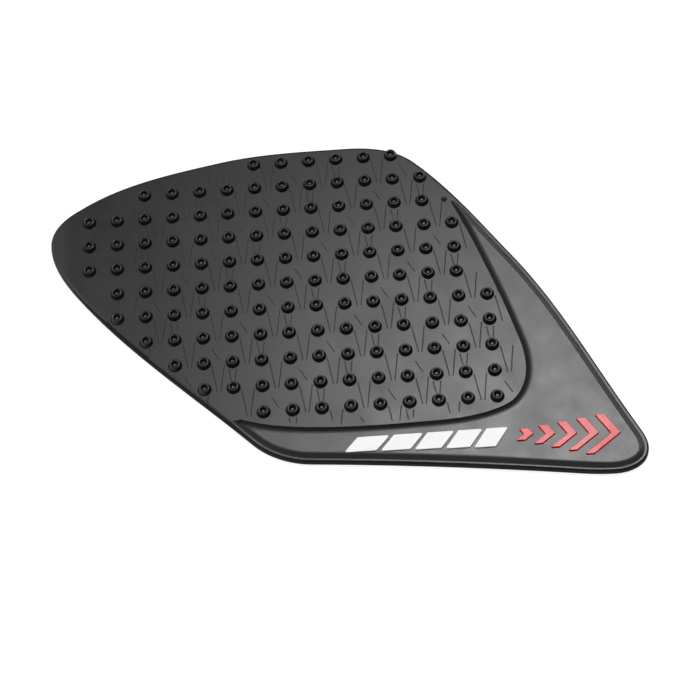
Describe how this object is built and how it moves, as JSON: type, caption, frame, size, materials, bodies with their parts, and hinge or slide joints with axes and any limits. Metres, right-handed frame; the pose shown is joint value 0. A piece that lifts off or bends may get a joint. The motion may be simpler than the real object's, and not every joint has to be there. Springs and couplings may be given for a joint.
{
  "type": "tank grip pad",
  "caption": "Moulded rubber knee-grip pad for the side of a motorbike tank, with a field of dimpled studs, a sunk rimmed wing and raised coloured bars and chevrons.",
  "frame": {"origin": "middle of the box round the pad, on the plane of its flat back", "axes": "+Z out of the studded face, away from the tank; +X along the length from the nose to the toe; +Y from the sole up to the crown"},
  "size_m": [0.2438, 0.1625, 0.0051],
  "materials": {
    "black_rubber": "satin moulded",
    "white_rubber": "satin moulded",
    "red_rubber": "satin moulded"
  },
  "bodies": {
    "root": {"grip_pad": "black_rubber", "white_bar_1": "white_rubber", "white_bar_2": "white_rubber", "white_bar_3": "white_rubber", "white_bar_4": "white_rubber", "white_bar_5": "white_rubber", "red_chevron_1": "red_rubber", "red_chevron_2": "red_rubber", "red_chevron_3": "red_rubber", "red_chevron_4": "red_rubber", "red_chevron_5": "red_rubber"}
  },
  "joints": []
}
